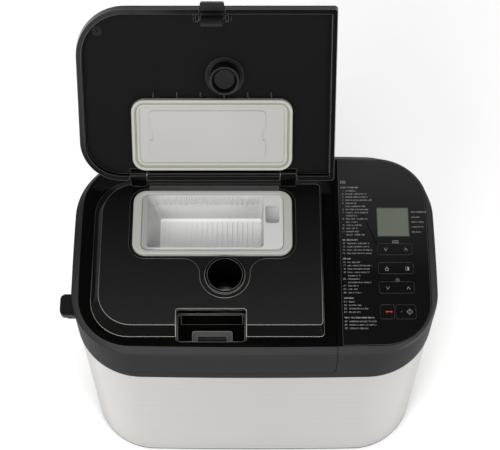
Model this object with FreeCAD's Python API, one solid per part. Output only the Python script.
import FreeCAD, Part

import math
import os

V = FreeCAD.Vector
UP = V(0, 0, 1)
EPS = 0.01

# Millimetres. X runs to the right, Y to the rear, Z up. The origin is on the table, under the
# middle of the body. The cover over the dispenser stands open.

# ---- Overall sizes
BODY_W = 396.0  # across the dark band, its widest
BODY_D = 243.0  # front to rear
STEEL_H = 252.5  # height of the steel sleeve
PANEL_W = 110.0  # control side, from the lid's split to the right-hand side
FRONT_R = 6000.0  # slight bow of the front and the rear
SIDE_R = 3500.0  # slight bow of the sides
CORNER_R = 75.0  # upright corners

# ---- Heights, from the table up
FOOT_H = 5.0
TRAY_T = 2.5
FRAME_BAND = 13.0  # dark band under the lid's skirt
DECK_DROP = 2.0  # deck below the top of that band
DECK_T = 2.5
SKIRT_H = 49.1
CHAMFER_H = 6.3
PLATEAU_H = 11.0
SEAL_H = 4.0  # closed cover's seal above the raised plate
COVER_T = 14.5

# ---- Walls and gaps
WALL = 2.5
STEEL_T = 0.8
STEEL_IN = 1.0  # steel face behind the band's face
SPLIT_GAP = 0.6  # between lid and body
FIT = 0.4  # loose fit between moulded pieces
CLEAR = 0.3  # between pieces that move past each other
RUN = 0.05  # radial running fit of pins and shafts

# ---- Lid and control side
LID_INSET = 8.5
LID_EDGE_R = 58.0
PANEL_INSET = 5.0
PANEL_EDGE_R = 57.0
PANEL_RISE = 2.0  # panel top above the lid's ledge
FILM_INSET = 9.0
FILM_T = 1.2
FILM_LEFT = 5.0
FILM_PROUD = 0.2
FILM_FIT = 0.15
SKIRT_R = 9.0  # rounded front corner of the lid's skirt, beside the control side
TAB_OUT = 11.5  # lifting tab beyond the side
TAB_W = 24.5
TAB_T = 8.0
TAB_FRONT = 50.0  # tab's front end behind the body's front
HINGE_IN = 11.5  # lid hinge axis in from the rear
HINGE_UP = 25.0  # and above the deck
HINGE_SIDE_LEFT = 84.0  # hinge lugs in from the ends of the lid
HINGE_SIDE_RIGHT = 63.0
LUG_W = 14.0
LUG_R = 6.5
EAR_T = 7.0
PIN_R = 2.5

# ---- Raised plate, dispenser and yeast chamber
PLATE_LEFT = 22.5
PLATE_RIGHT = 14.0
PLATE_FRONT = 20.5
PLATE_REAR = 36.0
PLATE_SLOPE = 9.0
PLATE_R = 42.0
PLATE_T = 2.2
INNER_WALL = 20.0  # wall of the lid's inner plate
POST_R = 4.0
POST_LEFT = 22.7  # the inner plate's posts from the dispenser rim's left, right, front and rear
POST_RIGHT = 8.0
POST_FRONT = 9.3
POST_REAR = 16.4
SEAT_W = 6.0  # seat of the raised plate on the lid's shell
RIM_LEFT = 65.7  # dispenser rim in from the lid's left side
RIM_W = 173.3
RIM_D = 77.1
RIM_REAR = 55.1
RIM_R = 14.0
RIM_BAND = 9.9
RIM_BAND_Y = 5.1
BOX_H = 38.7
BOX_LAND = 21.0  # wide land on the box's right side, with the finger recess
GRIP_W = 15.0
GRIP_D = 23.3
GRIP_DEEP = 9.0
STEP_DOWN = 19.0  # ledge along the box's rear wall, below its top
STEP_OUT = 2.6
BOX_WALL = 5.0
FLAP_T = 3.2
FLAP_RIBS = 18
RIB_W = 1.6
YEAST_R = 19.0
YEAST_AHEAD = 23.3  # yeast chamber's centre ahead of the dispenser rim
YEAST_FROM_LEFT = 166.2
OUTLET_R = 9.0
TONGUE_R = 27.0
TONGUE_FLARE = 18.0
POCKET_DEEP = 1.5
POCKET_EDGE = 4.0

# ---- Cover
COVER_ANGLE = 130.1  # how far the cover stands open
COVER_LEFT = 9.5
COVER_RIGHT = 1.3
COVER_FRONT = 13.7
COVER_REAR = 38.5
COVER_FLARE = 1.2  # the cover is this much wider at its outer face
COVER_EDGE = 3.0  # and its outer edge slopes in again over this height
COVER_LIP = 5.0
COVER_R = 52.0
PIVOT_IN = 41.2  # cover pivot in from the rear
PIVOT_UP = 10.4  # and above the seal plane
BARREL_R = 6.0
KNUCKLE_W = 17.5
SEAL_BAND = 8.6
SEAL_LIP = 3.6  # outer lip of the seal, the groove inside it, and how much lower the rest is
SEAL_GROOVE = 1.4
SEAL_LOWER = 1.2
SEAL_BACK = 5.3  # seal behind the dispenser rim's rear
SEAL_AHEAD = 1.8  # seal's front behind the rim's front
SEAL_STEP = 8.0
NOTCH_W = 3.2
NOTCH_D = 12.5
TAB_RIBS = 6
TAB_RIB_PITCH = 25.3
DIMPLE_R = 4.5
PLUG_R = 16.5
PLUG_TIP_R = 15.3
PLUG_LONG = 12.0

# ---- Latch
LATCH_X = -46.0
LATCH_W = 75.0
LATCH_REAR = 48.2  # pocket's rear wall behind the body's front
LATCH_FRONT = 13.9
LATCH_DEEP = 18.0
TONGUE_W = 25.6
CATCH_W = 42.5
CATCH_HOLE = 7.6
LATCH_OUT = 6.7  # lever's free end behind the body's front
LATCH_AXLE_IN = 23.2
GRIP_LONG = 8.3
POCKET_SLOPE = 5.0
AXLE_R = 1.5

# ---- Controls
DISPLAY = 34.0
DISPLAY_X = 45.9  # centre, in from the right-hand side
DISPLAY_Y = 33.8
KEY_LEFT = 63.5  # left edge of the keys, in from the right-hand side
KEY_LONG = 36.5
KEY_D = 12.3
KEY_ROWS = (0.6, -21.9, -44.9)
PUSH_Y = -73.4
PUSH_D = 15.2
PUSH_GAP = 2.5
STOP_W = 14.0
START_W = 20.4
KEY_PROUD = 0.9
KEY_FIT = 0.5
BOARD_DROP = 11.2

# ---- Baking chamber and pan
CHAMBER_GAP_X = 40.5  # chamber wall in from each end of the lid
CHAMBER_GAP_Y = 39.5  # and from the front and rear
CHAMBER_H = 183.0
CHAMBER_R = 32.0
CHAMBER_T = 1.0
FLANGE_W = 8.0
PAN_GAP_X = 15.5  # pan wall in from the chamber wall
PAN_GAP_Y = 21.0
PAN_DRAFT = 5.0
PAN_H = 148.0
PAN_R = 27.0
PAN_T = 1.6
PAN_RIM = 4.0
PAN_RIM_T = 2.0
PAN_DROP = 13.0  # pan rim below the deck
EAR_H = 10.0
BAIL_R = 2.0
BAIL_REACH = 52.0
HEATER_R = 3.2
HEATER_GAP = 1.3
HEATER_UP = 37.0

# ---- Drive
SOCKET_R = 42.0
SOCKET_H = 14.0
SOCKET_BORE = 35.6
RING_R = 33.0
RING_T = 3.0
LUG_OUT = 2.0
LUG_H = 3.0
LUG_ARC = 10.0
SHAFT_R = 4.0
BEARING_R = 9.0
DOG_OUT = 15.0
DOG_W = 6.0
DOG_H = 6.0
BOSS_H = 8.0
BLADE_H = 22.0
BLADE_T = 4.0
BLADE_GAP = 8.0
CHASSIS_UP = 25.0
CHASSIS_T = 2.0
PULLEY_R = 44.0
MOTOR_PULLEY_R = 10.0
PULLEY_H = 12.0
BELT_T = 2.0
MOTOR_R = 33.0
MOTOR_H = 78.0
MOTOR_IN = 86.0  # motor axis in from the right-hand side
POST_R = 5.0
SCREW_R = 1.6
FOOT_R = 9.0

# ---- Worked out from the sizes above
FRONT = -BODY_D / 2
REAR = BODY_D / 2
LEFT = -BODY_W / 2
RIGHT = BODY_W / 2
SPLIT_X = RIGHT - PANEL_W
STEEL_Z = FOOT_H + TRAY_T
FRAME_Z = STEEL_Z + STEEL_H
FRAME_TOP = FRAME_Z + FRAME_BAND
DECK_Z = FRAME_TOP - DECK_DROP
LID_Z = FRAME_TOP + SPLIT_GAP
BAND_Z = LID_Z + SKIRT_H
LEDGE_Z = BAND_Z + CHAMFER_H
PLATEAU_Z = LEDGE_Z + PLATEAU_H
SEAL_Z = PLATEAU_Z + SEAL_H
COVER_Z = SEAL_Z + COVER_T
PANEL_Z = LEDGE_Z + PANEL_RISE
CX = (LEFT + SPLIT_X) / 2
LID_X = SPLIT_X - SPLIT_GAP / 2
SIDE_X = SPLIT_X + SPLIT_GAP / 2
HINGE_Y = REAR - HINGE_IN
HINGE_Z = DECK_Z + HINGE_UP
HINGE_XS = (LEFT + HINGE_SIDE_LEFT, SPLIT_X - HINGE_SIDE_RIGHT)
RIM_X0 = LEFT + RIM_LEFT
RIM_X1 = RIM_X0 + RIM_W
RIM_Y1 = REAR - RIM_REAR
RIM_Y0 = RIM_Y1 - RIM_D
BOX_X0 = RIM_X0 + RIM_BAND
BOX_X1 = RIM_X1 - RIM_BAND
BOX_Y0 = RIM_Y0 + RIM_BAND_Y
BOX_Y1 = RIM_Y1 - RIM_BAND_Y
BOX_TOP = SEAL_Z - 0.8
BOX_Z = BOX_TOP - BOX_H
YEAST_X = LEFT + YEAST_FROM_LEFT
YEAST_Y = RIM_Y0 - YEAST_AHEAD
PIVOT_Y = REAR - PIVOT_IN
PIVOT_Z = SEAL_Z + PIVOT_UP
CHAMBER_W = (SPLIT_X - LEFT) - 2 * CHAMBER_GAP_X - 4.0
CHAMBER_D = BODY_D - 2 * CHAMBER_GAP_Y - 2.0
FLOOR_Z = DECK_Z - CHAMBER_H
PAN_W = CHAMBER_W - 2 * PAN_GAP_X
PAN_D = CHAMBER_D - 2 * PAN_GAP_Y
RIM_TOP = DECK_Z - PAN_DROP
PAN_Z = RIM_TOP - PAN_RIM_T - PAN_H
BAIL_Z = RIM_TOP + 6.0
INNER_Z = FRAME_TOP + 7.0  # underside of the lid's inner plate
CHASSIS_Z = FOOT_H + CHASSIS_UP
MOTOR_X = RIGHT - MOTOR_IN
PULLEY_Z = CHASSIS_Z - 4.0 - PULLEY_H
BARREL_X0 = RIM_X0 + 15.8
BARREL_X1 = RIM_X1 - 13.0
GLAND_X = LEFT + 90
GLAND_Z = STEEL_Z + 40
GLAND_R = 6.0
PIVOT_DROP = 7.6  # rocker axis below the panel's face
SENSOR_Z = FLOOR_Z + 110
SENSOR_R = 3.0
DOG_Z = FLOOR_Z + 11.0  # underside of the meshing dogs
MOTOR_SHAFT_R = 3.0
REAR_RELIEF = 4.0  # rear of the skirt is this much shorter, to swing clear of the band
FLAP_Y = BOX_Y1 - 4.5
FLAP_Z = BOX_Z - 2.0
FLAP_PIN_R = 1.2
YEAST_LOW = INNER_Z + 4.0
YEAST_GATE_Y = YEAST_Y + OUTLET_R + 5.0
GATE_Z = YEAST_LOW - 1.4
PANEL_LOW = SEAL_Z + SEAL_STEP
LATCH_Z = SEAL_Z + 5.0


def polar(x, y, r, degrees, z=0.0):
    a = math.radians(degrees)
    return V(x + r * math.cos(a), y + r * math.sin(a), z)


def closed_wire(edges):
    return Part.Wire(Part.__sortEdges__(edges))


def face(wire):
    return Part.Face(wire)


def rise(wire, height):
    return face(wire).extrude(V(0, 0, height))


def loft(*wires):
    return Part.makeLoft(list(wires), True, True)


def block(x0, x1, y0, y1, z0, z1):
    return Part.makeBox(x1 - x0, y1 - y0, z1 - z0, V(x0, y0, z0))


def rod(x, y, z0, z1, r, r_top=None):
    if r_top is None or abs(r_top - r) < EPS:
        return Part.makeCylinder(r, z1 - z0, V(x, y, z0))
    return Part.makeCone(r, r_top, z1 - z0, V(x, y, z0))


def rod_x(x0, x1, y, z, r):
    return Part.makeCylinder(r, x1 - x0, V(x0, y, z), V(1, 0, 0))


def rod_y(x, y0, y1, z, r):
    return Part.makeCylinder(r, y1 - y0, V(x, y0, z), V(0, 1, 0))


def tube(x, y, z0, z1, r_out, r_in):
    return rod(x, y, z0, z1, r_out).cut(rod(x, y, z0 - 1, z1 + 1, r_in))


def fuse(*shapes):
    flat = [s for s in shapes if s is not None]
    return flat[0].multiFuse(flat[1:]).removeSplitter() if len(flat) > 1 else flat[0]


def cut(shape, *tools):
    return shape.cut(Part.makeCompound(list(tools)))


def group(shapes):
    return Part.makeCompound(list(shapes))


def corner_centre(half_w, half_d, r):
    """Centre of the arc that runs smoothly from the bowed front into the bowed side."""
    fy, sx = FRONT_R - half_d, half_w - SIDE_R
    a, b = FRONT_R - r, SIDE_R - r
    gap = math.hypot(sx, fy)
    along = (a * a - b * b + gap * gap) / (2 * gap)
    off = math.sqrt(a * a - along * along)
    ux, uy = sx / gap, -fy / gap
    return V(along * ux - off * uy, fy + along * uy + off * ux, 0)


def outline(inset, z, r=None):
    """The body's plan: four slightly bowed sides and four smooth corners, at an inset and height."""
    half_w, half_d = BODY_W / 2 - inset, BODY_D / 2 - inset
    r = CORNER_R - inset if r is None else r
    c = corner_centre(half_w, half_d, r)
    front, side = V(0, FRONT_R - half_d, 0), V(half_w - SIDE_R, 0, 0)
    t1 = c + (c - front).normalize() * r
    t2 = c + (c - side).normalize() * r
    mid = c + ((t1 - c) + (t2 - c)).normalize() * r
    sx, sy = (1, 1, -1, -1), (1, -1, -1, 1)
    corner = [[V(sx[k] * p.x, sy[k] * p.y, z) for p in (t1, mid, t2)] for k in range(4)]
    edges = [Part.Arc(*corner[k]).toShape() for k in range(4)]
    edges.append(Part.Arc(corner[3][0], V(0, -half_d, z), corner[0][0]).toShape())
    edges.append(Part.Arc(corner[0][2], V(half_w, 0, z), corner[1][2]).toShape())
    edges.append(Part.Arc(corner[1][0], V(0, half_d, z), corner[2][0]).toShape())
    edges.append(Part.Arc(corner[2][2], V(-half_w, 0, z), corner[3][2]).toShape())
    return closed_wire(edges)


def plate_wire(x0, x1, y0, y1, z, radii):
    """A rectangle with its corners rounded: front left, front right, rear right, rear left."""
    rs = (radii,) * 4 if isinstance(radii, (int, float)) else radii
    cs = ((x0, y0, 1, 1, 180), (x1, y0, -1, 1, 270), (x1, y1, -1, -1, 0), (x0, y1, 1, -1, 90))
    points = []
    for (x, y, sx, sy, start), r in zip(cs, rs):
        cx, cy = x + sx * r, y + sy * r
        points.append([polar(cx, cy, r, start + turn, z) for turn in (0, 45, 90)])
    edges = []
    for k in range(4):
        edges.append(Part.Arc(*points[k]).toShape())
        edges.append(Part.makeLine(points[k][2], points[(k + 1) % 4][0]))
    return closed_wire(edges)


def slab(x0, x1, y0, y1, z0, z1, r):
    return rise(plate_wire(x0, x1, y0, y1, z0, r), z1 - z0)


def about(x, y, half_x, half_y):
    return x - half_x, x + half_x, y - half_y, y + half_y


def left_of(shape, x):
    return shape.common(block(LEFT - 50, x, FRONT - 50, REAR + 50, -1, COVER_Z + 50))


def right_of(shape, x):
    return shape.common(block(x, RIGHT + 50, FRONT - 50, REAR + 50, -1, COVER_Z + 50))


def opened(shape):
    """A cover piece, drawn closed, turned to the place where the cover stands open."""
    turned = shape.copy()
    turned.rotate(V(0, PIVOT_Y, PIVOT_Z), V(1, 0, 0), -COVER_ANGLE)
    return turned


# ---- Base


def post_places():
    xs = (CX - 75, CX + 75, MOTOR_X + 45)
    return [(x, y) for x in xs for y in (FRONT + 42, REAR - 42)]


def foot_places():
    """One foot near each corner and one in the middle, under the drive side of the tray."""
    corners = [(x, y) for x in (LEFT + 55, RIGHT - 55) for y in (FRONT + 40, REAR - 40)]
    return corners + [(0.0, 0.0)]


def base_tray():
    floor = rise(outline(STEEL_IN, FOOT_H), TRAY_T)
    inner = STEEL_IN + STEEL_T + CLEAR
    wall = rise(outline(inner, STEEL_Z - EPS), 15.0).cut(rise(outline(inner + WALL, STEEL_Z - 1), 20.0))
    posts = [rod(x, y, STEEL_Z - EPS, CHASSIS_Z, POST_R) for x, y in post_places()]
    bores = [rod(x, y, FOOT_H - 1, CHASSIS_Z - 6, SCREW_R) for x, y in post_places()]
    vents = [slab(x, x + 4, -30, 30, FOOT_H - 1, STEEL_Z + 1, 1.9) for x in
             [MOTOR_X - 24 + 9 * k for k in range(6)]]
    return cut(fuse(floor, wall, *posts), *bores, *vents)


def feet():
    return group(rod(x, y, 0, FOOT_H, FOOT_R - 1.0, FOOT_R) for x, y in foot_places())


def base_screws():
    screws = []
    for x, y in post_places():
        shank = rod(x, y, FOOT_H - EPS, CHASSIS_Z - 6.5, SCREW_R)
        screws.append(fuse(rod(x, y, FOOT_H - 2.2, FOOT_H, 3.2), shank))
    return group(screws)


def steel_sleeve():
    shell = rise(outline(STEEL_IN, STEEL_Z), STEEL_H)
    shell = shell.cut(rise(outline(STEEL_IN + STEEL_T, STEEL_Z - 1), STEEL_H + 2))
    return shell.cut(rod_y(GLAND_X, REAR - 15, REAR + 15, GLAND_Z, GLAND_R + FIT))


def cord_gland():
    body = rod_y(GLAND_X, REAR - 9, REAR + 4, GLAND_Z, GLAND_R)
    flange = rod_y(GLAND_X, REAR - 1.0 + FIT, REAR + 1.5, GLAND_Z, GLAND_R + 3.5)
    nut = rod_y(GLAND_X, REAR - 8.8, REAR - 4.6, GLAND_Z, GLAND_R + 3)
    return fuse(body, flange, nut).cut(rod_y(GLAND_X, REAR - 10, REAR + 5, GLAND_Z, 3.6))


def chassis_plate():
    x0, x1 = CX - 88, MOTOR_X + 54
    plate = slab(x0, x1, FRONT + 30, REAR - 30, CHASSIS_Z, CHASSIS_Z + CHASSIS_T, 10)
    holes = [rod(CX, 0, CHASSIS_Z - 1, CHASSIS_Z + 5, BEARING_R - 2),
             rod(MOTOR_X, 0, CHASSIS_Z - 1, CHASSIS_Z + 5, 8)]
    holes += [rod(x, y, CHASSIS_Z - 1, CHASSIS_Z + 5, SCREW_R) for x, y in post_places()]
    return cut(plate, *holes)


# ---- Frame and control side


def panel_block(shrink):
    """The control side's outer shape, or its hollow when shrunk by the wall."""
    low = outline(shrink, FRAME_TOP - DECK_DROP - DECK_T - shrink)
    wide = outline(shrink, BAND_Z - shrink / 3)
    edge = outline(PANEL_INSET + shrink, PANEL_Z - 3.0 - shrink, PANEL_EDGE_R - shrink)
    top = outline(FILM_INSET - 1 + shrink, PANEL_Z - shrink, PANEL_EDGE_R - 4 - shrink)
    whole = fuse(loft(low, wide), loft(wide, edge), loft(edge, top))
    return right_of(whole, SIDE_X + shrink)


def film_slab(z0, z1, grow=0.0):
    plan = rise(outline(FILM_INSET - grow, z0, PANEL_EDGE_R - 6 + grow), z1 - z0)
    return right_of(plan, SIDE_X + FILM_LEFT - grow)


def key_boxes(grow, z0, z1):
    """The three rocker keys, then stop and start, as blocks grown by a clearance."""
    x = RIGHT - KEY_LEFT
    boxes = []
    for y in KEY_ROWS:
        boxes.append((x, x + KEY_LONG, y - KEY_D / 2, y + KEY_D / 2))
    boxes.append((x, x + STOP_W, PUSH_Y - PUSH_D / 2, PUSH_Y + PUSH_D / 2))
    start_x = x + STOP_W + PUSH_GAP
    boxes.append((start_x, start_x + START_W, PUSH_Y - PUSH_D / 2, PUSH_Y + PUSH_D / 2))
    return [slab(x0 - grow, x1 + grow, y0 - grow, y1 + grow, z0, z1, 1.6 + grow)
            for x0, x1, y0, y1 in boxes]


def display_box(grow, z0, z1):
    half = DISPLAY / 2 + grow
    return block(*about(RIGHT - DISPLAY_X, DISPLAY_Y, half, half), z0, z1)


def skirt_corner(x, z):
    """What a rounded corner leaves over, where the skirt's lower edge meets the split."""
    square = block(x - SKIRT_R, x, FRONT - 5, FRONT + 40, z, z + SKIRT_R)
    return square.cut(rod_y(x - SKIRT_R, FRONT - 6, FRONT + 41, z + SKIRT_R, SKIRT_R))


def top_frame():
    ring = rise(outline(0, FRAME_Z), FRAME_BAND).cut(rise(outline(WALL, FRAME_Z - 1), FRAME_BAND + 2))
    inner = STEEL_IN + STEEL_T + CLEAR
    lip = rise(outline(inner, FRAME_Z - 10), 12).cut(rise(outline(inner + 2, FRAME_Z - 11), 14))
    flange = rise(outline(1, FRAME_Z), 2).cut(rise(outline(inner + 2, FRAME_Z - 1), 4))
    deck = left_of(rise(outline(WALL - 0.5, DECK_Z - DECK_T), DECK_T), SIDE_X + WALL)
    hole = chamber_wire(CHAMBER_T + FIT, DECK_Z - 10)
    deck = deck.cut(rise(hole, 20))
    side = panel_block(0).cut(panel_block(WALL))
    low_hollow = right_of(rise(outline(WALL, DECK_Z - DECK_T - 5), 10), SIDE_X + WALL)
    side = side.cut(low_hollow)
    recess = film_slab(PANEL_Z - FILM_T, PANEL_Z + 1, FILM_FIT)
    ledge = display_box(-2, PANEL_Z - 10, PANEL_Z + 1)
    posts = [rod(x, y, PANEL_Z - BOARD_DROP, PANEL_Z - FILM_T - 0.5, 2.5) for x, y in board_posts()]
    wall = rise(outline(0, FRAME_TOP - EPS), SKIRT_R + 1)
    wall = wall.cut(rise(outline(WALL, FRAME_TOP - 1), SKIRT_R + 3))
    filled = skirt_corner(SIDE_X + EPS, FRAME_TOP - EPS).common(wall)
    body = fuse(ring, lip, flange, deck, side, filled, *posts)
    return cut(body, recess, ledge, display_box(FIT, PANEL_Z - FILM_T, PANEL_Z + 2),
               *key_boxes(KEY_FIT, PANEL_Z - 10, PANEL_Z + 1))


def panel_film():
    film = film_slab(PANEL_Z - FILM_T, PANEL_Z + FILM_PROUD)
    return cut(film, display_box(FIT, PANEL_Z - 5, PANEL_Z + 5),
               *key_boxes(KEY_FIT, PANEL_Z - 5, PANEL_Z + 5))


def display_lens():
    return display_box(0, PANEL_Z - FILM_T, PANEL_Z)


def lcd_module():
    low = PANEL_Z - BOARD_DROP
    glass = display_box(-2.6, PANEL_Z - FILM_T - 2.4, PANEL_Z - FILM_T - 0.2)
    frame = display_box(-2.6, low, PANEL_Z - FILM_T - 2.4)
    return fuse(glass, frame)


def board_posts():
    x0, x1 = RIGHT - KEY_LEFT - 2.5, RIGHT - KEY_LEFT + KEY_LONG + 3.5
    return [(x, y) for x in (x0, x1) for y in (DISPLAY_Y + DISPLAY / 2 + 6, PUSH_Y - PUSH_D / 2 - 5)]


def key_board():
    low = PANEL_Z - BOARD_DROP
    x0, x1 = RIGHT - KEY_LEFT - 6, RIGHT - KEY_LEFT + KEY_LONG + 7
    board = block(x0, x1, PUSH_Y - PUSH_D, DISPLAY_Y + DISPLAY / 2 + 10, low - 1.6, low)
    mid = RIGHT - KEY_LEFT + KEY_LONG / 2
    posts = [block(mid - 2, mid + 2, y - 2, y + 2, low - EPS, PANEL_Z - PIVOT_DROP - 1.0 - CLEAR)
             for y in KEY_ROWS]
    switches = [rod(mid + side * 12, y, low - EPS, low + 0.8, 2.4) for y in KEY_ROWS
                for side in (-1, 1)]
    x = RIGHT - KEY_LEFT
    for centre in (x + STOP_W / 2, x + STOP_W + PUSH_GAP + START_W / 2):
        switches.append(rod(centre, PUSH_Y, low - EPS, low + 1.5, 3))
    return fuse(board, *posts, *switches)


def key_cap(index):
    """A key: a flat cap through the film, on a narrower body under it."""
    top = key_boxes(0, PANEL_Z - 4, PANEL_Z + KEY_PROUD)[index]
    box = top.BoundBox
    mid_x, mid_y = box.Center.x, box.Center.y
    if index < len(KEY_ROWS):
        stem = block(mid_x - 0.8, mid_x + 0.8, mid_y - 3, mid_y + 3, PANEL_Z - PIVOT_DROP, PANEL_Z - 3)
        stem = fuse(stem, rod_y(mid_x, mid_y - 3, mid_y + 3, PANEL_Z - PIVOT_DROP, 1.0))
        legs = [rod(mid_x + side * 12, mid_y, PANEL_Z - 8.8, PANEL_Z - 3, 1.5) for side in (-1, 1)]
        return fuse(top, stem, *legs)
    return fuse(top, rod(mid_x, mid_y, PANEL_Z - 8.2, PANEL_Z - 3, 3))


def power_board():
    x = RIGHT - 26
    board = block(x, x + 1.6, -60, 60, STEEL_Z, STEEL_Z + 190)
    parts = [block(x - 22, x + EPS, -45, -15, STEEL_Z + 120, STEEL_Z + 155),
             rod_x(x - 20, x + EPS, 10, STEEL_Z + 140, 8), rod_x(x - 16, x + EPS, 35, STEEL_Z + 145, 6),
             block(x - 12, x + EPS, -40, 40, STEEL_Z + 168, STEEL_Z + 180)]
    return fuse(board, *parts)


# ---- Baking chamber


def chamber_wire(grow, z):
    return plate_wire(*about(CX, 0, CHAMBER_W / 2 + grow, CHAMBER_D / 2 + grow), z, CHAMBER_R + grow)


def heater_ends():
    return [(CX + CHAMBER_W / 2 - 12, y) for y in (-14, 14)]


def baking_chamber():
    outer = rise(chamber_wire(CHAMBER_T, FLOOR_Z - CHAMBER_T), CHAMBER_H + CHAMBER_T + CHAMBER_T)
    flange = rise(chamber_wire(FLANGE_W, DECK_Z), CHAMBER_T)
    body = fuse(outer, flange).cut(rise(chamber_wire(0, FLOOR_Z), CHAMBER_H + 10))
    holes = [rod(CX, 0, FLOOR_Z - 5, FLOOR_Z + 5, BEARING_R + FIT)]
    for x, y in heater_ends():
        holes.append(rod_x(x, x + 30, y, FLOOR_Z + HEATER_UP, HEATER_R + FIT))
    holes.append(rod_y(CX, -CHAMBER_D / 2 - 10, -CHAMBER_D / 2 + 10, SENSOR_Z, SENSOR_R))
    return cut(body, *holes)


def temperature_sensor():
    wall = -CHAMBER_D / 2
    body = rod_y(CX, wall - 8, wall + 3, SENSOR_Z, SENSOR_R)
    return fuse(body, rod_y(CX, wall - 6, wall - CHAMBER_T, SENSOR_Z, SENSOR_R + 2.5))


def heater_element():
    inset = HEATER_R + HEATER_GAP
    z = FLOOR_Z + HEATER_UP
    box = about(CX, 0, CHAMBER_W / 2 - inset, CHAMBER_D / 2 - inset)
    path = plate_wire(*box, z, CHAMBER_R - inset)
    first = path.Edges[0]
    at = first.FirstParameter
    ring = Part.Wire(Part.makeCircle(HEATER_R, first.valueAt(at), first.tangentAt(at)))
    loop = path.makePipeShell([ring], True, False)
    ends = [rod_x(box[1], box[1] + 16, y, z, HEATER_R) for _, y in heater_ends()]
    return fuse(loop, *ends)


def heater_clips():
    z = FLOOR_Z + HEATER_UP
    clips = []
    for side in (-1, 1):
        wall = side * CHAMBER_D / 2
        for x in (CX - 45, CX + 45):
            low, high = sorted((wall, wall - side * (HEATER_R * 2 + HEATER_GAP + 1.5)))
            clip = block(x - 4, x + 4, low, high, z - 5, z + 5)
            mid = wall - side * (HEATER_R + HEATER_GAP)
            clips.append(clip.cut(rod_x(x - 5, x + 5, mid, z, HEATER_R)))
    return group(clips)


# ---- Pan


def pan_wire(grow, z, draft=0.0):
    box = about(CX, 0, PAN_W / 2 - draft + grow, PAN_D / 2 - draft + grow)
    return plate_wire(*box, z, PAN_R - draft + grow)


def bread_pan():
    top = PAN_Z + PAN_H
    outer = loft(pan_wire(0, PAN_Z, PAN_DRAFT), pan_wire(0, top))
    rim = rise(pan_wire(PAN_RIM, top), PAN_RIM_T)
    boss = rod(CX, 0, PAN_Z, PAN_Z + BOSS_H, 9)
    slope = PAN_DRAFT / PAN_H
    floor = PAN_Z + 2.0
    hollow = loft(pan_wire(-PAN_T, floor, PAN_DRAFT - slope * 2), pan_wire(-PAN_T, top + 5, -slope * 5))
    shell = fuse(outer, rim).cut(hollow)
    return cut(fuse(shell, boss), rod(CX, 0, PAN_Z - 5, PAN_Z + 20, SHAFT_R + RUN))


def arc_wedge(r_in, r_out, z0, z1, middle):
    half = LUG_ARC / 2
    pts = [polar(CX, 0, r, middle + t, z0) for r in (r_in, r_out) for t in (-half, 0, half)]
    edges = [Part.Arc(pts[0], pts[1], pts[2]).toShape(), Part.makeLine(pts[2], pts[5]),
             Part.Arc(pts[5], pts[4], pts[3]).toShape(), Part.makeLine(pts[3], pts[0])]
    return rise(closed_wire(edges), z1 - z0)


def pan_base_ring():
    low = FLOOR_Z + 2.0 + CLEAR
    ring = tube(CX, 0, low, PAN_Z, RING_R, RING_R - RING_T)
    flange = tube(CX, 0, PAN_Z - 2, PAN_Z, RING_R + 7, RING_R - RING_T)
    lugs = [arc_wedge(RING_R - 1, RING_R + LUG_OUT, low + 2, low + 2 + LUG_H, a) for a in (0, 180)]
    return fuse(ring, flange, *lugs)


def pan_socket():
    base = tube(CX, 0, FLOOR_Z, FLOOR_Z + 2, SOCKET_R, BEARING_R + FIT)
    wall = tube(CX, 0, FLOOR_Z + 1, FLOOR_Z + SOCKET_H, SOCKET_R, SOCKET_BORE)
    over = FLOOR_Z + 2.0 + CLEAR + 2 + LUG_H + CLEAR
    tabs = [arc_wedge(RING_R + 2 * CLEAR, SOCKET_BORE + 1, over, over + LUG_H, a) for a in (0, 180)]
    return fuse(base, wall, *tabs)


def pan_ears():
    ears = []
    for side in (-1, 1):
        xs = sorted((CX + side * (PAN_W / 2 - 0.5), CX + side * (PAN_W / 2 + 1.5)))
        foot = sorted((CX + side * (PAN_W / 2 - 0.5), CX + side * (PAN_W / 2 + PAN_RIM - 0.5)))
        tall = block(xs[0], xs[1], -7, 7, RIM_TOP, BAIL_Z)
        top = rod_x(xs[0], xs[1], 0, BAIL_Z, 7)
        top = top.common(block(xs[0], xs[1], -8, 8, BAIL_Z - EPS, BAIL_Z + 5))
        base = block(foot[0], foot[1], -9, 9, RIM_TOP, RIM_TOP + 1.2)
        ear = fuse(tall, top, base)
        ears.append(ear.cut(rod_x(xs[0] - 5, xs[1] + 5, 0, BAIL_Z, BAIL_R + CLEAR)))
    return group(ears)


def pan_handle():
    arm = PAN_W / 2 - 4.0
    bend = 12.0
    left, right, front = CX - arm, CX + arm, -BAIL_REACH
    k = bend * (1 - math.sqrt(0.5))
    p = [V(left, 0, BAIL_Z), V(left, front + bend, BAIL_Z), V(left + k, front + k, BAIL_Z),
         V(left + bend, front, BAIL_Z), V(right - bend, front, BAIL_Z), V(right - k, front + k, BAIL_Z),
         V(right, front + bend, BAIL_Z), V(right, 0, BAIL_Z)]
    edges = [Part.makeLine(p[0], p[1]), Part.Arc(p[1], p[2], p[3]).toShape(), Part.makeLine(p[3], p[4]),
             Part.Arc(p[4], p[5], p[6]).toShape(), Part.makeLine(p[6], p[7])]
    ring = Part.Wire(Part.makeCircle(BAIL_R, p[0], V(0, 1, 0)))
    bail = Part.Wire(edges).makePipeShell([ring], True, False)
    pins = [rod_x(left - 7, left, 0, BAIL_Z, BAIL_R), rod_x(right, right + 7, 0, BAIL_Z, BAIL_R)]
    balls = [Part.makeSphere(BAIL_R, p[0]), Part.makeSphere(BAIL_R, p[7])]
    return fuse(bail, *pins, *balls)


# ---- Drive


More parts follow.
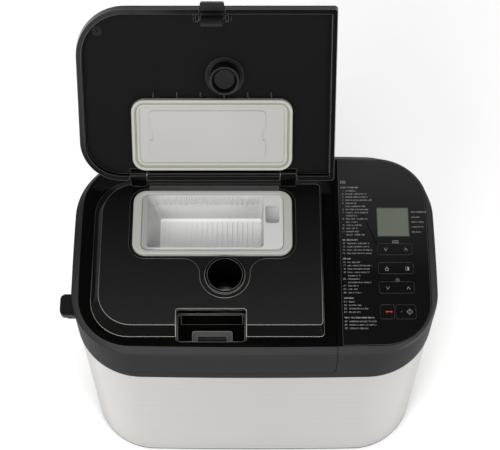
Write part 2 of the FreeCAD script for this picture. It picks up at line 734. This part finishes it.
def dogs(middle, z0, z1):
    pair = []
    for a in (middle, middle + 180):
        dog = block(CX + 5, CX + DOG_OUT, -DOG_W / 2, DOG_W / 2, z0, z1)
        dog.rotate(V(CX, 0, 0), UP, a)
        pair.append(dog)
    return pair


def drive_shaft():
    shaft = rod(CX, 0, PULLEY_Z - 2, DOG_Z, SHAFT_R)
    hub = rod(CX, 0, DOG_Z - 3, DOG_Z, DOG_OUT)
    return fuse(shaft, hub, *dogs(0, DOG_Z - EPS, DOG_Z + DOG_H - 1))


def pan_shaft():
    low = DOG_Z + DOG_H
    hub = rod(CX, 0, low, PAN_Z - CLEAR, DOG_OUT)
    shaft = rod(CX, 0, low, PAN_Z + BOSS_H + 10, SHAFT_R)
    return fuse(hub, shaft, *dogs(90, DOG_Z + CLEAR, low + EPS))


def kneading_blade():
    low = PAN_Z + BOSS_H + CLEAR
    hub = rod(CX, 0, low, low + BLADE_H, 8.5, 6.0)
    reach = PAN_D / 2 - PAN_DRAFT - BLADE_GAP
    y = -BLADE_T / 2
    side = [V(CX, y, low), V(CX + reach, y, low), V(CX + reach, y, low + BLADE_H * 0.55),
            V(CX + 14, y, low + BLADE_H - 2), V(CX, y, low + BLADE_H - 2)]
    paddle = face(Part.makePolygon(side + side[:1])).extrude(V(0, BLADE_T, 0))
    return fuse(hub, paddle).cut(rod(CX, 0, low - 1, PAN_Z + BOSS_H + 10, SHAFT_R))


def shaft_bearing():
    flange = rod(CX, 0, CHASSIS_Z + CHASSIS_T, CHASSIS_Z + CHASSIS_T + 3, 24)
    body = rod(CX, 0, CHASSIS_Z + CHASSIS_T, FLOOR_Z - CHAMBER_T - CLEAR, BEARING_R + 4, BEARING_R + 2)
    neck = rod(CX, 0, FLOOR_Z - 10, FLOOR_Z + 7, BEARING_R)
    return fuse(flange, body, neck).cut(rod(CX, 0, CHASSIS_Z - 1, FLOOR_Z + 20, SHAFT_R + RUN))


def pulley(x, r, shaft_r):
    body = rod(x, 0, PULLEY_Z, PULLEY_Z + PULLEY_H, r)
    flanges = [rod(x, 0, PULLEY_Z, PULLEY_Z + 1.5, r + BELT_T + 1),
               rod(x, 0, PULLEY_Z + PULLEY_H - 1.5, PULLEY_Z + PULLEY_H, r + BELT_T + 1)]
    whole = fuse(body, *flanges)
    return whole.cut(rod(x, 0, PULLEY_Z - 1, PULLEY_Z + PULLEY_H + 1, shaft_r))


def drive_pulley():
    wheel = pulley(CX, PULLEY_R, SHAFT_R)
    holes = [rod(CX + 27 * math.cos(a), 27 * math.sin(a), PULLEY_Z - 1, PULLEY_Z + PULLEY_H + 1, 8)
             for a in [math.tau * k / 6 for k in range(6)]]
    return cut(wheel, *holes)


def motor_pulley():
    return pulley(MOTOR_X, MOTOR_PULLEY_R, MOTOR_SHAFT_R)


def motor_shaft():
    return rod(MOTOR_X, 0, PULLEY_Z - 1, CHASSIS_Z + 14, MOTOR_SHAFT_R)


def belt_loop(grow, z):
    """Plan of a belt round both pulleys, at a distance from their rims."""
    r1, r2, gap = PULLEY_R + grow, MOTOR_PULLEY_R + grow, MOTOR_X - CX
    a = math.degrees(math.acos((r1 - r2) / gap))
    p = [polar(CX, 0, r1, a, z), polar(CX, 0, r1, 180, z), polar(CX, 0, r1, -a, z),
         polar(MOTOR_X, 0, r2, -a, z), polar(MOTOR_X, 0, r2, 0, z), polar(MOTOR_X, 0, r2, a, z)]
    return closed_wire([Part.Arc(p[0], p[1], p[2]).toShape(), Part.makeLine(p[2], p[3]),
                        Part.Arc(p[3], p[4], p[5]).toShape(), Part.makeLine(p[5], p[0])])


def drive_belt():
    low, high = PULLEY_Z + 2.2, PULLEY_Z + PULLEY_H - 2.2
    outer = rise(belt_loop(CLEAR + BELT_T, low), high - low)
    return outer.cut(rise(belt_loop(CLEAR, low - 1), high - low + 2))


def kneading_motor():
    low = CHASSIS_Z + CHASSIS_T
    case = rod(MOTOR_X, 0, low, low + MOTOR_H, MOTOR_R)
    cap = rod(MOTOR_X, 0, low + MOTOR_H, low + MOTOR_H + 6, MOTOR_R - 12)
    ears = slab(*about(MOTOR_X, 0, MOTOR_R + 9, 12), low, low + 4, 5)
    return fuse(case, cap, ears).cut(rod(MOTOR_X, 0, low - 1, CHASSIS_Z + 15, MOTOR_SHAFT_R + RUN))


# ---- Main lid


def lid_block(shrink):
    low = outline(shrink, LID_Z - shrink)
    wide = outline(shrink, BAND_Z - shrink / 3)
    top = outline(LID_INSET + shrink * 0.7, LEDGE_Z - shrink, LID_EDGE_R - shrink * 0.7)
    return left_of(fuse(loft(low, wide), loft(wide, top)), LID_X - shrink)


def latch_box(z0, z1, grow=0.0):
    mid = LATCH_X
    return slab(mid - LATCH_W / 2 - grow, mid + LATCH_W / 2 + grow, FRONT + LATCH_FRONT - grow,
                FRONT + LATCH_REAR + grow, z0, z1, 3)


def rim_slab(grow, z0, z1):
    return slab(RIM_X0 - grow, RIM_X1 + grow, RIM_Y0 - grow, RIM_Y1 + grow, z0, z1, RIM_R + grow)


def box_slab(grow, z0, z1):
    return slab(BOX_X0 - grow, BOX_X1 + grow, BOX_Y0 - grow, BOX_Y1 + grow, z0, z1, 7 + grow)


def hinge_ear(x0):
    low = HINGE_Z
    ear = block(x0, x0 + EAR_T, HINGE_Y - LUG_R, HINGE_Y + LUG_R, low, LEDGE_Z - WALL + EPS)
    return fuse(ear, rod_x(x0, x0 + EAR_T, HINGE_Y, HINGE_Z, LUG_R))


def lid_shell():
    shell = lid_block(0).cut(lid_block(WALL))
    relief = block(LEFT - 1, LID_X + 1, HINGE_Y - 12, REAR + 5, LID_Z - 1, LID_Z + REAR_RELIEF)
    ears, notches, bores = [], [], []
    for x in HINGE_XS:
        ears += [hinge_ear(x - LUG_W / 2 - FIT - EAR_T), hinge_ear(x + LUG_W / 2 + FIT)]
        notches.append(block(x - LUG_W / 2 - 1, x + LUG_W / 2 + 1, HINGE_Y + LUG_R, REAR + 5,
                             LID_Z - 1, HINGE_Z + 10))
        bores.append(rod_x(x - 20, x + 20, HINGE_Y, HINGE_Z, PIN_R))
    under_plate = slab(LEFT + PLATE_LEFT + SEAT_W + 1, SPLIT_X - PLATE_RIGHT - SEAT_W - 1,
                       FRONT + PLATE_FRONT + SEAT_W + 1, REAR - PLATE_REAR - SEAT_W - 3,
                       LEDGE_Z - 10, LEDGE_Z + 5, 8)
    tools = [under_plate, latch_box(LEDGE_Z - 10, LEDGE_Z + 5)]
    ears = [e.common(lid_block(0)) for e in ears]
    return cut(fuse(shell, *ears), relief, skirt_corner(LID_X, LID_Z), *notches, *bores, *tools)


def lid_hinge_pins():
    half = LUG_W / 2 + FIT + EAR_T
    return group(rod_x(x - half, x + half, HINGE_Y, HINGE_Z, PIN_R) for x in HINGE_XS)


def hinge_lugs():
    lugs = []
    for x in HINGE_XS:
        x0, x1 = x - LUG_W / 2, x + LUG_W / 2
        stem = block(x0, x1, HINGE_Y - LUG_R, HINGE_Y + LUG_R, DECK_Z, HINGE_Z)
        lug = fuse(stem, rod_x(x0, x1, HINGE_Y, HINGE_Z, LUG_R))
        lugs.append(lug.cut(rod_x(x0 - 1, x1 + 1, HINGE_Y, HINGE_Z, PIN_R + RUN)))
    return group(lugs)


def plateau_wire(grow, z, slope):
    """Raised plate's plan. Its left and front slope out, its right side is nearly upright."""
    x0, x1 = LEFT + PLATE_LEFT + slope - grow, SPLIT_X - PLATE_RIGHT - slope * 0.2 + grow
    y0, y1 = FRONT + PLATE_FRONT + slope - grow, REAR - PLATE_REAR - slope + grow
    r = PLATE_R - slope * 0.6 + grow
    return plate_wire(x0, x1, y0, y1, z, (r, 4 + grow, 4 + grow, r))


def tongue_plan(z0, z1):
    """The lower zone round the dispenser rim, with a rounded tongue round the yeast chamber."""
    reach = TONGUE_R + TONGUE_FLARE
    drop = RIM_Y0 - POCKET_EDGE
    dy = drop - TONGUE_FLARE - YEAST_Y
    dx = math.sqrt(reach * reach - dy * dy)
    left, right = V(YEAST_X - dx, drop - TONGUE_FLARE, z0), V(YEAST_X + dx, drop - TONGUE_FLARE, z0)
    c = V(YEAST_X, YEAST_Y, z0)
    t_left = c + (left - c).normalize() * TONGUE_R
    t_right = c + (right - c).normalize() * TONGUE_R
    top_left, top_right = left + V(0, TONGUE_FLARE, 0), right + V(0, TONGUE_FLARE, 0)
    m_left = left + ((t_left - left) + (top_left - left)).normalize() * TONGUE_FLARE
    m_right = right + ((t_right - right) + (top_right - right)).normalize() * TONGUE_FLARE
    up = V(0, 6, 0)
    edges = [Part.Arc(top_left, m_left, t_left).toShape(),
             Part.Arc(t_left, c - V(0, TONGUE_R, 0), t_right).toShape(),
             Part.Arc(t_right, m_right, top_right).toShape(),
             Part.makeLine(top_right, top_right + up), Part.makeLine(top_right + up, top_left + up),
             Part.makeLine(top_left + up, top_left)]
    return fuse(rise(closed_wire(edges), z1 - z0), rim_slab(POCKET_EDGE, z0, z1))


def knuckle(x0, grow=0.0):
    x0, x1 = x0 - grow, x0 + KNUCKLE_W + grow
    r = BARREL_R + 0.5
    stem = block(x0, x1, PIVOT_Y - r - grow, PIVOT_Y + r + grow, LEDGE_Z, PIVOT_Z)
    return fuse(stem, rod_x(x0, x1, PIVOT_Y, PIVOT_Z, r + grow))


def knuckle_starts():
    return BARREL_X0 - 1.5 - KNUCKLE_W, BARREL_X1 + FIT


def hinge_sill():
    """Strip between the dispenser rim and the cover's barrel, sloping up to the rear."""
    y0, y1 = RIM_Y1 + 1.0, PIVOT_Y - BARREL_R - 1.0
    low, high = PLATEAU_Z - POCKET_DEEP - EPS, PLATEAU_Z + 1.5
    side = [V(BARREL_X0 + 1, y, z) for y, z in ((y0, low), (y1, low), (y1, high), (y0, low + 0.5))]
    return face(Part.makePolygon(side + side[:1])).extrude(V(BARREL_X1 - BARREL_X0 - 2, 0, 0))


def lid_top_plate():
    low, high = plateau_wire(0, LEDGE_Z, 0), plateau_wire(0, PLATEAU_Z, PLATE_SLOPE)
    in_low = plateau_wire(-PLATE_T, LEDGE_Z - 1, 0)
    in_high = plateau_wire(-PLATE_T, PLATEAU_Z - PLATE_T - POCKET_DEEP, PLATE_SLOPE)
    shell = loft(low, high).cut(loft(in_low, in_high))
    tools = [rim_slab(FIT, LEDGE_Z - 5, PLATEAU_Z + 5), tongue_plan(PLATEAU_Z - POCKET_DEEP, PLATEAU_Z + 5),
             rod(YEAST_X, YEAST_Y, LEDGE_Z - 5, PLATEAU_Z + 5, YEAST_R + 2.5 + FIT),
             latch_box(LEDGE_Z - 5, PLATEAU_Z + 5)]
    knuckles = [knuckle(x) for x in knuckle_starts()] + [hinge_sill()]
    bores = [rod_x(x - 1, x + KNUCKLE_W + 1, PIVOT_Y, PIVOT_Z, PIN_R + RUN) for x in knuckle_starts()]
    return cut(fuse(cut(shell, *tools), *knuckles), *bores)


def lid_inner_plate():
    half_x, half_y = CHAMBER_W / 2 + 11, CHAMBER_D / 2 + 10.5
    tray = slab(*about(CX, 0, half_x, half_y), INNER_Z, INNER_Z + INNER_WALL, 30)
    tray = tray.cut(slab(*about(CX, 0, half_x - 1.5, half_y - 1.5), INNER_Z + 1, LEDGE_Z, 28.5))
    top = PLATEAU_Z - PLATE_T - POCKET_DEEP
    posts = [rod(x, y, INNER_Z + 1 - EPS, top, POST_R) for x in (RIM_X0 - POST_LEFT, RIM_X1 + POST_RIGHT)
             for y in (RIM_Y0 - POST_FRONT, RIM_Y1 - POST_REAR)]
    return cut(fuse(tray, *posts), box_slab(3, INNER_Z - 5, INNER_Z + 5),
               rod(YEAST_X, YEAST_Y + 4, INNER_Z - 5, INNER_Z + 5, OUTLET_R + 12))


def lid_gasket():
    outer = rise(chamber_wire(FLANGE_W - 1, DECK_Z + CHAMBER_T + FIT), INNER_Z - DECK_Z - CHAMBER_T - FIT)
    return outer.cut(rise(chamber_wire(1.5, DECK_Z), 20))


def dispenser_frame():
    rim = rim_slab(0, LEDGE_Z + 2, SEAL_Z - CLEAR)
    sleeve = box_slab(FIT + 2, INNER_Z + 1, LEDGE_Z + 3)
    return fuse(rim, sleeve).cut(box_slab(FIT, INNER_Z - 5, SEAL_Z + 5))


def cavity():
    """The box's inside: a sloped left wall and a ledge along the rear wall."""
    x0, x1 = BOX_X0 + BOX_WALL, BOX_X1 - BOX_LAND
    y0, y1 = BOX_Y0 + 2.5, BOX_Y1 - 1.4
    step = BOX_TOP - STEP_DOWN
    lean = 13.0 * STEP_DOWN / BOX_H
    top = plate_wire(x0, x1, y0, y1, BOX_TOP + 1, 4)
    middle = plate_wire(x0 + lean, x1 - 1, y0 + 1, y1 - 0.6, step, 4)
    ledge = plate_wire(x0 + lean, x1 - 1, y0 + 1, y1 - 0.6 - STEP_OUT, step + EPS, 3)
    foot = plate_wire(x0 + 13, x1 - 2, y0 + 2, y1 - 8.6, BOX_Z - 1, 3)
    return fuse(loft(middle, top), loft(foot, ledge))


def wall_ribs():
    """Upright ribs on the rear wall, above its ledge."""
    x0, x1 = flap_ends()
    pitch = (x1 - x0 - 12) / FLAP_RIBS
    z0 = BOX_TOP - STEP_DOWN - EPS
    starts = [x0 + 6 + pitch * k for k in range(FLAP_RIBS)]
    return [block(x, x + RIB_W, BOX_Y1 - 3.0, BOX_Y1 - 1.2, z0, BOX_TOP - 3.5) for x in starts]


def dispenser_box():
    box = box_slab(0, BOX_Z, BOX_TOP)
    grip_x, grip_y = BOX_X1 - 4.0, BOX_Y1 - 11.5
    grip = slab(grip_x - GRIP_W, grip_x, grip_y - GRIP_D, grip_y, BOX_TOP - GRIP_DEEP, BOX_TOP + 1, 3)
    ears = []
    for x in (flap_ends()[0] - 3.5, flap_ends()[1] + 0.5):
        ear = block(x, x + 3, FLAP_Y - 2.6, FLAP_Y + 2.6, FLAP_Z, BOX_Z + EPS)
        ear = fuse(ear, rod_x(x, x + 3, FLAP_Y, FLAP_Z, 2.6))
        ears.append(ear.cut(rod_x(x - 1, x + 4, FLAP_Y, FLAP_Z, FLAP_PIN_R + RUN)))
    return fuse(cut(fuse(box, *ears), cavity(), grip), *wall_ribs())


def flap_ends():
    return BOX_X0 + BOX_WALL + 12, BOX_X1 - BOX_LAND - 2


def dispenser_flap():
    x0, x1 = flap_ends()
    low, high = BOX_Z - CLEAR - FLAP_T, BOX_Z - CLEAR
    plate = block(x0, x1, BOX_Y0 + 3, FLAP_Y, low, high)
    barrel = rod_x(x0, x1, FLAP_Y, FLAP_Z, 1.6)
    pitch = (x1 - x0 - 12) / FLAP_RIBS
    starts = [x0 + 6 + pitch * k for k in range(FLAP_RIBS)]
    ribs = [block(x, x + RIB_W, BOX_Y0 + 8, BOX_Y1 - 15, high - EPS, high + 1.2) for x in starts]
    return fuse(plate, barrel, *ribs).cut(rod_x(x0 - 1, x1 + 1, FLAP_Y, FLAP_Z, FLAP_PIN_R))


def flap_pin():
    x0, x1 = flap_ends()
    return rod_x(x0 - 4, x1 + 4, FLAP_Y, FLAP_Z, FLAP_PIN_R)


def yeast_cup():
    flange = rod(YEAST_X, YEAST_Y, PLATEAU_Z - POCKET_DEEP - PLATE_T, PLATEAU_Z + 1, YEAST_R + 2.5)
    body = rod(YEAST_X, YEAST_Y, LEDGE_Z - 14, PLATEAU_Z - 2, YEAST_R + 0.4)
    cone = rod(YEAST_X, YEAST_Y, YEAST_LOW, LEDGE_Z - 14, OUTLET_R + 2, YEAST_R + 0.4)
    mouth = rod(YEAST_X, YEAST_Y, PLATEAU_Z - 14, PLATEAU_Z + 2, YEAST_R - 1.5, YEAST_R)
    funnel = rod(YEAST_X, YEAST_Y, YEAST_LOW + 12, PLATEAU_Z - 14, OUTLET_R, YEAST_R - 1.5)
    outlet = rod(YEAST_X, YEAST_Y, YEAST_LOW - 1, YEAST_LOW + 12 + EPS, OUTLET_R)
    ears = []
    for side in (-1, 1):
        x0 = YEAST_X + side * 7.5 - 1.5
        arm = block(x0, x0 + 3, YEAST_Y + OUTLET_R - 1, YEAST_GATE_Y + 2.4, YEAST_LOW, YEAST_LOW + 4)
        drop = block(x0, x0 + 3, YEAST_GATE_Y - 2.4, YEAST_GATE_Y + 2.4, GATE_Z, YEAST_LOW + 1)
        arm = fuse(arm, drop, rod_x(x0, x0 + 3, YEAST_GATE_Y, GATE_Z, 2.4))
        ears.append(arm.cut(rod_x(x0 - 1, x0 + 4, YEAST_GATE_Y, GATE_Z, 1 + RUN)))
    whole = cut(fuse(flange, body, cone), mouth, funnel, outlet)
    return fuse(whole, *ears)


def yeast_gate():
    disc = rod(YEAST_X, YEAST_Y, YEAST_LOW - 2.5, YEAST_LOW - CLEAR, OUTLET_R + 1.5)
    dome = Part.makeSphere(5.5, V(YEAST_X, YEAST_Y, YEAST_LOW - CLEAR - 1))
    dome = dome.common(rod(YEAST_X, YEAST_Y, YEAST_LOW - 1, YEAST_LOW + 8, 6))
    arm = block(YEAST_X - 5, YEAST_X + 5, YEAST_Y + 6, YEAST_GATE_Y, YEAST_LOW - 2.5, YEAST_LOW - CLEAR)
    pin = rod_x(YEAST_X - 9.5, YEAST_X + 9.5, YEAST_GATE_Y, GATE_Z, 1.0)
    return fuse(disc, dome, arm, pin)


def lid_solenoids():
    coils = []
    for x, y in ((LEFT + 46, YEAST_Y - 18), (YEAST_X + 45, YEAST_Y - 2)):
        case = block(x, x + 18, y - 14, y + 14, INNER_Z + 1, INNER_Z + 24)
        coils.append(fuse(case, rod_y(x + 9, y + 13, y + 24, INNER_Z + 12, 3)))
    return group(coils)


def latch_catch():
    """Pocket that the cover's latch drops into, with a window frame in its floor."""
    low = LEDGE_Z - LATCH_DEEP
    outer = latch_box(low, LEDGE_Z - 2, -CLEAR)
    hollow = latch_box(low + 1.5, LEDGE_Z + 5, -CLEAR - 1.5)
    tray = outer.cut(hollow)
    flat = block(LATCH_X - LATCH_W, LATCH_X + LATCH_W, FRONT, REAR, LEDGE_Z - WALL, LEDGE_Z + 5)
    rear = FRONT + LATCH_REAR - CLEAR - 1.5
    x0, x1 = LATCH_X - LATCH_W / 2 + 5, LATCH_X + LATCH_W / 2 - 4
    profile = ((rear + EPS, low + 1), (rear + EPS, low + 15), (rear - POCKET_SLOPE, low + 2.6),
               (rear - POCKET_SLOPE, low + 1))
    side = [V(x0, y, z) for y, z in profile]
    slope = face(Part.makePolygon(side + side[:1])).extrude(V(x1 - x0, 0, 0))
    return cut(fuse(tray, slope), flat, catch_hole(low - 1, low + 3))


def catch_hole(z0, z1):
    """Where the latch's hook goes through the catch."""
    return slab(*about(LATCH_X + 1, latch_y() - 2.1, TONGUE_W / 2 + 3, CATCH_HOLE / 2), z0, z1, 1.5)


def catch_frame():
    low = LEDGE_Z - LATCH_DEEP + 1.5
    plate = slab(*about(LATCH_X + 1, latch_y(), CATCH_W / 2, 7.4), low, low + 7, 2)
    return plate.cut(catch_hole(low - 1, low + 9))


def lift_tab():
    y0 = FRONT + TAB_FRONT
    top = BAND_Z - 4.7
    plate = slab(LEFT - TAB_OUT, LEFT + 8, y0, y0 + TAB_W, top - TAB_T, top, 6)
    boss = slab(LEFT - TAB_OUT + 5, LEFT + 8, y0 + 5, y0 + TAB_W - 5, top - TAB_T - 14, top - TAB_T, 3)
    inside = left_of(rise(outline(0, LID_Z), SKIRT_H), LID_X)
    return cut(fuse(plate, boss), inside)


# ---- Cover


def cover_wire(grow, z):
    x0, x1 = LEFT + COVER_LEFT - grow, SPLIT_X - COVER_RIGHT + grow
    y0, y1 = FRONT + COVER_FRONT - grow, REAR - COVER_REAR + grow
    r = COVER_R + grow
    return plate_wire(x0, x1, y0, y1, z, (r, 3.0 + max(grow, -2.0), 3.0 + max(grow, -2.0), 44 + grow))


def knuckle_room(extra):
    """What the lid's knuckles sweep through in the cover as it turns."""
    r = BARREL_R + 0.5 + extra
    tools = []
    for x in knuckle_starts():
        tools.append(rod_x(x - 0.8, x + KNUCKLE_W + 0.8, PIVOT_Y, PIVOT_Z, r))
        tools.append(block(x - 0.8, x + KNUCKLE_W + 0.8, PIVOT_Y - r, REAR, SEAL_Z - 1, PIVOT_Z))
    return tools


def cover_shell():
    flare, edge = cover_wire(COVER_FLARE, COVER_Z - COVER_EDGE), cover_wire(COVER_FLARE - 2.0, COVER_Z)
    outer = fuse(loft(cover_wire(0, SEAL_Z), flare), loft(flare, edge))
    hollow = rise(cover_wire(-COVER_LIP, SEAL_Z - 1), COVER_T - 3.2)
    shell = outer.cut(hollow)
    barrel = rod_x(BARREL_X0, BARREL_X1, PIVOT_Y, PIVOT_Z, BARREL_R)
    shell = cut(shell, *knuckle_room(1.0))
    lugs = []
    for side in (-1, 1):
        near = LATCH_X + 1.5 + side * (TONGUE_W / 2 + 1.0)
        x0, x1 = sorted((near, near + side * 3.5))
        lug = block(x0, x1, latch_y() - 3.5, latch_y() + 3.5, SEAL_Z + 1.5, COVER_Z - 3.0)
        lugs.append(lug.cut(rod_x(x0 - 1, x1 + 1, latch_y(), LATCH_Z, AXLE_R + RUN)))
    shell = fuse(shell, *lugs)
    tongue = block(*about(LATCH_X + 1.5, 0, TONGUE_W / 2 + 0.8, 1)[:2], FRONT, latch_y() + 8,
                   SEAL_Z - 1, COVER_Z - 3.5)
    body = cut(fuse(shell, barrel), rod_x(BARREL_X0 - 1, BARREL_X1 + 1, PIVOT_Y, PIVOT_Z, PIN_R), tongue)
    return opened(body)


def cover_panel():
    plate = rise(cover_wire(-COVER_LIP - FIT / 2, PANEL_LOW), 2.3)
    first = (RIM_X0 + RIM_X1) / 2 - TAB_RIB_PITCH * (TAB_RIBS - 1) / 2
    front = RIM_Y0 + SEAL_AHEAD - FIT
    ribs = [block(first + TAB_RIB_PITCH * k, first + TAB_RIB_PITCH * k + 1.0, front - 6.5, front,
                  PANEL_LOW - 3, PANEL_LOW + EPS) for k in range(TAB_RIBS)]
    plug_room = rod(YEAST_X, YEAST_Y, PANEL_LOW - 4, PANEL_LOW, PLUG_R + 4 + RUN)
    ribs = [rib.cut(plug_room) for rib in ribs]
    gap = slab(*about(LATCH_X + 1.5, latch_y() - 2, 20, 8), PANEL_LOW - 1, PANEL_LOW + 4, 2)
    gap_front = block(LATCH_X - 13, LATCH_X + 16, FRONT, latch_y(), PANEL_LOW - 1, PANEL_LOW + 4)
    dimple = tube(LEFT + 32, FRONT + 39, PANEL_LOW - 1, PANEL_LOW + 0.8, DIMPLE_R, DIMPLE_R - 2.0)
    barrel = rod_x(BARREL_X0 - 1, BARREL_X1 + 1, PIVOT_Y, PIVOT_Z, BARREL_R + FIT)
    return opened(cut(fuse(plate, *ribs), gap, gap_front, dimple, barrel, *knuckle_room(1.4)))


def seal_slab(grow, z0, z1):
    return slab(RIM_X0 - grow, RIM_X1 + grow, RIM_Y0 + SEAL_AHEAD - grow, RIM_Y1 + SEAL_BACK + grow,
                z0, z1, RIM_R + grow)


def cover_seal():
    """A soft ring with a lip round its outside, a groove inside the lip, and a lower inner band."""
    ring = seal_slab(0, SEAL_Z, PANEL_LOW).cut(seal_slab(-SEAL_BAND, SEAL_Z - 1, PANEL_LOW + 1))
    lower = seal_slab(-SEAL_LIP, SEAL_Z - 1, SEAL_Z + SEAL_LOWER)
    inner = -SEAL_LIP - SEAL_GROOVE
    groove = seal_slab(-SEAL_LIP, SEAL_Z - 1, SEAL_Z + SEAL_LOWER + 1.2).cut(
        seal_slab(inner, SEAL_Z - 2, SEAL_Z + 10))
    return opened(cut(ring, lower, groove))


def seal_plate():
    """Fills the seal's ring, with a raised panel that has a notch in each end."""
    base = seal_slab(-SEAL_BAND - RUN, SEAL_Z + 2.4, PANEL_LOW)
    x0, x1 = RIM_X0 + 19.4, RIM_X1 - 29
    y0, y1 = RIM_Y0 + 14.5, RIM_Y1 - 8.5
    raised = slab(x0, x1, y0, y1, SEAL_Z + 1.5, SEAL_Z + 2.4 + EPS, 5)
    mid = (y0 + y1) / 2
    notches = [slab(x - NOTCH_W, x + NOTCH_W, mid - NOTCH_D / 2, mid + NOTCH_D / 2, SEAL_Z, SEAL_Z + 2.4, 1)
               for x in (x0, x1)]
    return opened(fuse(base, cut(raised, *notches)))


def yeast_plug():
    tip = SEAL_Z - PLUG_LONG
    base = rod(YEAST_X, YEAST_Y, PANEL_LOW - 3, PANEL_LOW, PLUG_R + 4)
    body = rod(YEAST_X, YEAST_Y, tip, PANEL_LOW - 3 + EPS, PLUG_TIP_R, PLUG_R)
    hollow = rod(YEAST_X, YEAST_Y, tip - EPS, tip + 6, PLUG_TIP_R - 1.6, PLUG_TIP_R - 5)
    return opened(fuse(base, body).cut(hollow))


def latch_y():
    return FRONT + LATCH_AXLE_IN


def latch_lever():
    """A lever with a thick grip at its free end, a hook in its middle and its axle behind."""
    mid = LATCH_X + 1.5
    x0, x1 = mid - TONGUE_W / 2, mid + TONGUE_W / 2
    y0, y1 = FRONT + LATCH_OUT, latch_y() + 3
    z0, z1 = SEAL_Z + 3.5, SEAL_Z + 7.0
    grip = y0 + GRIP_LONG
    profile = [V(x0, y, z) for y, z in ((y0, z1), (y0, SEAL_Z + 0.5), (grip, SEAL_Z + 0.5), (grip + 3.4, z0),
                                        (y1, z0), (y1, z1))]
    bar = face(Part.makePolygon(profile + profile[:1])).extrude(V(x1 - x0, 0, 0))
    bar = bar.common(slab(x0, x1, y0, y1 + 5, SEAL_Z, z1 + 1, 2.5))
    hook = block(x0 + 1.5, x1 - 1.5, latch_y() - 2.0, latch_y() + 0.8, LEDGE_Z - LATCH_DEEP + 4, SEAL_Z + 4)
    axle = rod_x(x0 - 4.0, x1 + 4.0, latch_y(), LATCH_Z, AXLE_R)
    return opened(fuse(bar, hook, axle))


def cover_pin():
    x0 = knuckle_starts()[0] + 2
    x1 = knuckle_starts()[1] + KNUCKLE_W - 2
    return rod_x(x0, x1, PIVOT_Y, PIVOT_Z, PIN_R)


NODES = {
    "base_tray": base_tray,
    "rubber_feet": feet,
    "base_screws": base_screws,
    "steel_sleeve": steel_sleeve,
    "cord_gland": cord_gland,
    "chassis_plate": chassis_plate,
    "top_frame": top_frame,
    "panel_film": panel_film,
    "display_lens": display_lens,
    "lcd_module": lcd_module,
    "key_board": key_board,
    "menu_key": lambda: key_cap(0),
    "option_key": lambda: key_cap(1),
    "timer_key": lambda: key_cap(2),
    "stop_key": lambda: key_cap(3),
    "start_key": lambda: key_cap(4),
    "power_board": power_board,
    "baking_chamber": baking_chamber,
    "temperature_sensor": temperature_sensor,
    "heater_element": heater_element,
    "heater_clips": heater_clips,
    "pan_socket": pan_socket,
    "shaft_bearing": shaft_bearing,
    "kneading_motor": kneading_motor,
    "motor_shaft": motor_shaft,
    "motor_pulley": motor_pulley,
    "drive_pulley": drive_pulley,
    "drive_shaft": drive_shaft,
    "drive_belt": drive_belt,
    "bread_pan": bread_pan,
    "pan_base_ring": pan_base_ring,
    "pan_ears": pan_ears,
    "pan_handle": pan_handle,
    "pan_shaft": pan_shaft,
    "kneading_blade": kneading_blade,
    "hinge_lugs": hinge_lugs,
    "lid_hinge_pins": lid_hinge_pins,
    "lid_shell": lid_shell,
    "lid_top_plate": lid_top_plate,
    "lid_inner_plate": lid_inner_plate,
    "lid_gasket": lid_gasket,
    "lid_solenoids": lid_solenoids,
    "lift_tab": lift_tab,
    "latch_pocket": latch_catch,
    "latch_window": catch_frame,
    "dispenser_frame": dispenser_frame,
    "dispenser_box": dispenser_box,
    "dispenser_flap": dispenser_flap,
    "flap_pin": flap_pin,
    "yeast_cup": yeast_cup,
    "yeast_gate": yeast_gate,
    "cover_shell": cover_shell,
    "cover_panel": cover_panel,
    "cover_seal": cover_seal,
    "seal_plate": seal_plate,
    "yeast_plug": yeast_plug,
    "cover_pin": cover_pin,
    "latch_lever": latch_lever,
}

os.makedirs("parts", exist_ok=True)
for name, make in NODES.items():
    make().exportStep("parts/" + name + ".step")
